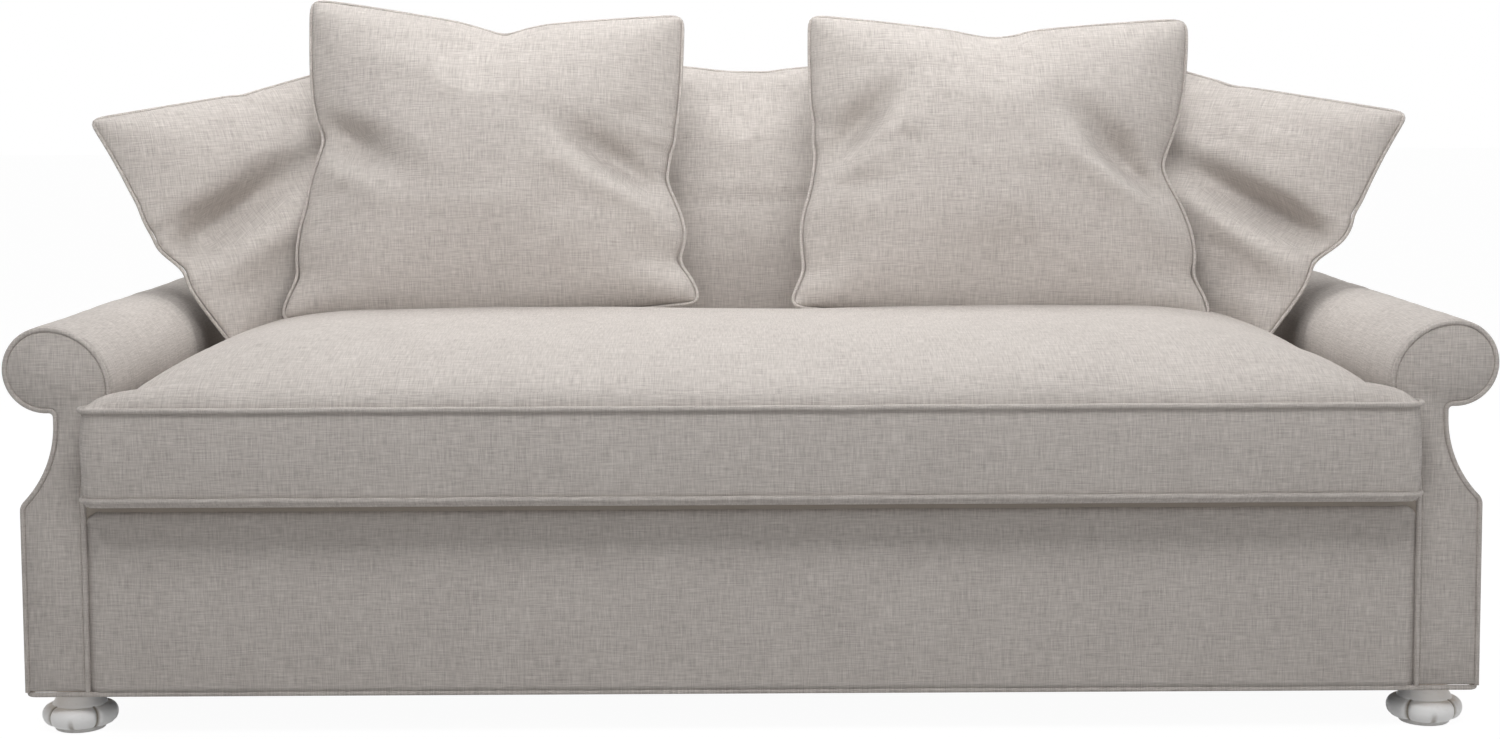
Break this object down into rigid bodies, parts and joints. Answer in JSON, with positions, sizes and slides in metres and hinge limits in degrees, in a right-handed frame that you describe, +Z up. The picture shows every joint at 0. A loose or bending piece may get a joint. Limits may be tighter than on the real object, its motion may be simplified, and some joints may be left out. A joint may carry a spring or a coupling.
{
  "type": "serpentine arm sofa",
  "caption": "Upholstered sofa with serpentine rolled arms, a plain skirtless base on carved bun feet, a bench seat cushion and loose welted back pillows.",
  "frame": {"origin": "on the floor, under the middle of the sofa's box", "axes": "+X along the sofa towards the viewer's right, +Y from the front to the back, +Z up"},
  "size_m": [2.134, 1.058, 1.0809],
  "materials": {
    "linen": "matte",
    "deck_lining": "matte",
    "dust_lining": "matte",
    "foam": "matte",
    "webbing": "matte",
    "painted_wood": "satin",
    "steel": "satin",
    "frame_wood": "matte"
  },
  "bodies": {
    "frame": {"arm_bolts": "steel", "back_cover": "linen", "back_padding": "foam", "back_rail": "frame_wood", "back_top_rail": "frame_wood", "back_uprights": "frame_wood", "back_webbing": "webbing", "base_welt": "linen", "corner_blocks": "frame_wood", "deck_cloth": "deck_lining", "deck_pad": "foam", "dust_cover": "dust_lining", "foot_hanger_bolts": "steel", "foot_tee_nuts": "steel", "front_left_foot": "painted_wood", "front_panel_cover": "linen", "front_rail": "frame_wood", "front_right_foot": "painted_wood", "left_arm_base_board": "frame_wood", "left_arm_cover": "linen", "left_arm_front_board": "frame_wood", "left_arm_front_cover": "linen", "left_arm_padding": "foam", "left_arm_rear_board": "frame_wood", "left_arm_side_rail": "frame_wood", "left_arm_top_rail": "frame_wood", "left_arm_welt": "linen", "left_side_rail": "frame_wood", "outside_back_cover": "linen", "rear_left_foot": "painted_wood", "rear_right_foot": "painted_wood", "right_arm_base_board": "frame_wood", "right_arm_cover": "linen", "right_arm_front_board": "frame_wood", "right_arm_front_cover": "linen", "right_arm_padding": "foam", "right_arm_rear_board": "frame_wood", "right_arm_side_rail": "frame_wood", "right_arm_top_rail": "frame_wood", "right_arm_welt": "linen", "right_side_rail": "frame_wood", "seat_cross_braces": "frame_wood", "seat_rear_rail": "frame_wood", "seat_webbing": "webbing"},
    "center_pillow": {"center_pillow": "linen", "center_pillow_welt": "linen"},
    "front_left_pillow": {"front_left_pillow": "linen", "front_left_pillow_welt": "linen"},
    "front_right_pillow": {"front_right_pillow": "linen", "front_right_pillow_welt": "linen"},
    "left_corner_pillow": {"left_corner_pillow": "linen", "left_corner_pillow_welt": "linen"},
    "right_corner_pillow": {"right_corner_pillow": "linen", "right_corner_pillow_welt": "linen"},
    "seat_cushion": {"seat_cushion_cover": "linen", "seat_cushion_core": "foam", "seat_cushion_bottom_welt": "linen", "seat_cushion_top_welt": "linen"}
  },
  "joints": [
    {"name": "center_pillow_lift", "type": "slide", "parent": "frame", "child": "center_pillow", "axis": [0, 0.2079, 0.9781], "range_m": [0, 0.5]},
    {"name": "left_corner_pillow_lift", "type": "slide", "parent": "frame", "child": "left_corner_pillow", "axis": [0, 0.2079, 0.9781], "range_m": [0, 0.5]},
    {"name": "right_corner_pillow_lift", "type": "slide", "parent": "frame", "child": "right_corner_pillow", "axis": [0, 0.2079, 0.9781], "range_m": [0, 0.5]},
    {"name": "front_left_pillow_lift", "type": "slide", "parent": "frame", "child": "front_left_pillow", "axis": [0, -0.5, 0.866], "range_m": [0, 0.5]},
    {"name": "front_right_pillow_lift", "type": "slide", "parent": "frame", "child": "front_right_pillow", "axis": [0, -0.5, 0.866], "range_m": [0, 0.5]},
    {"name": "seat_cushion_pull", "type": "slide", "parent": "frame", "child": "seat_cushion", "axis": [0, -1, 0], "range_m": [0, 0.6]}
  ]
}
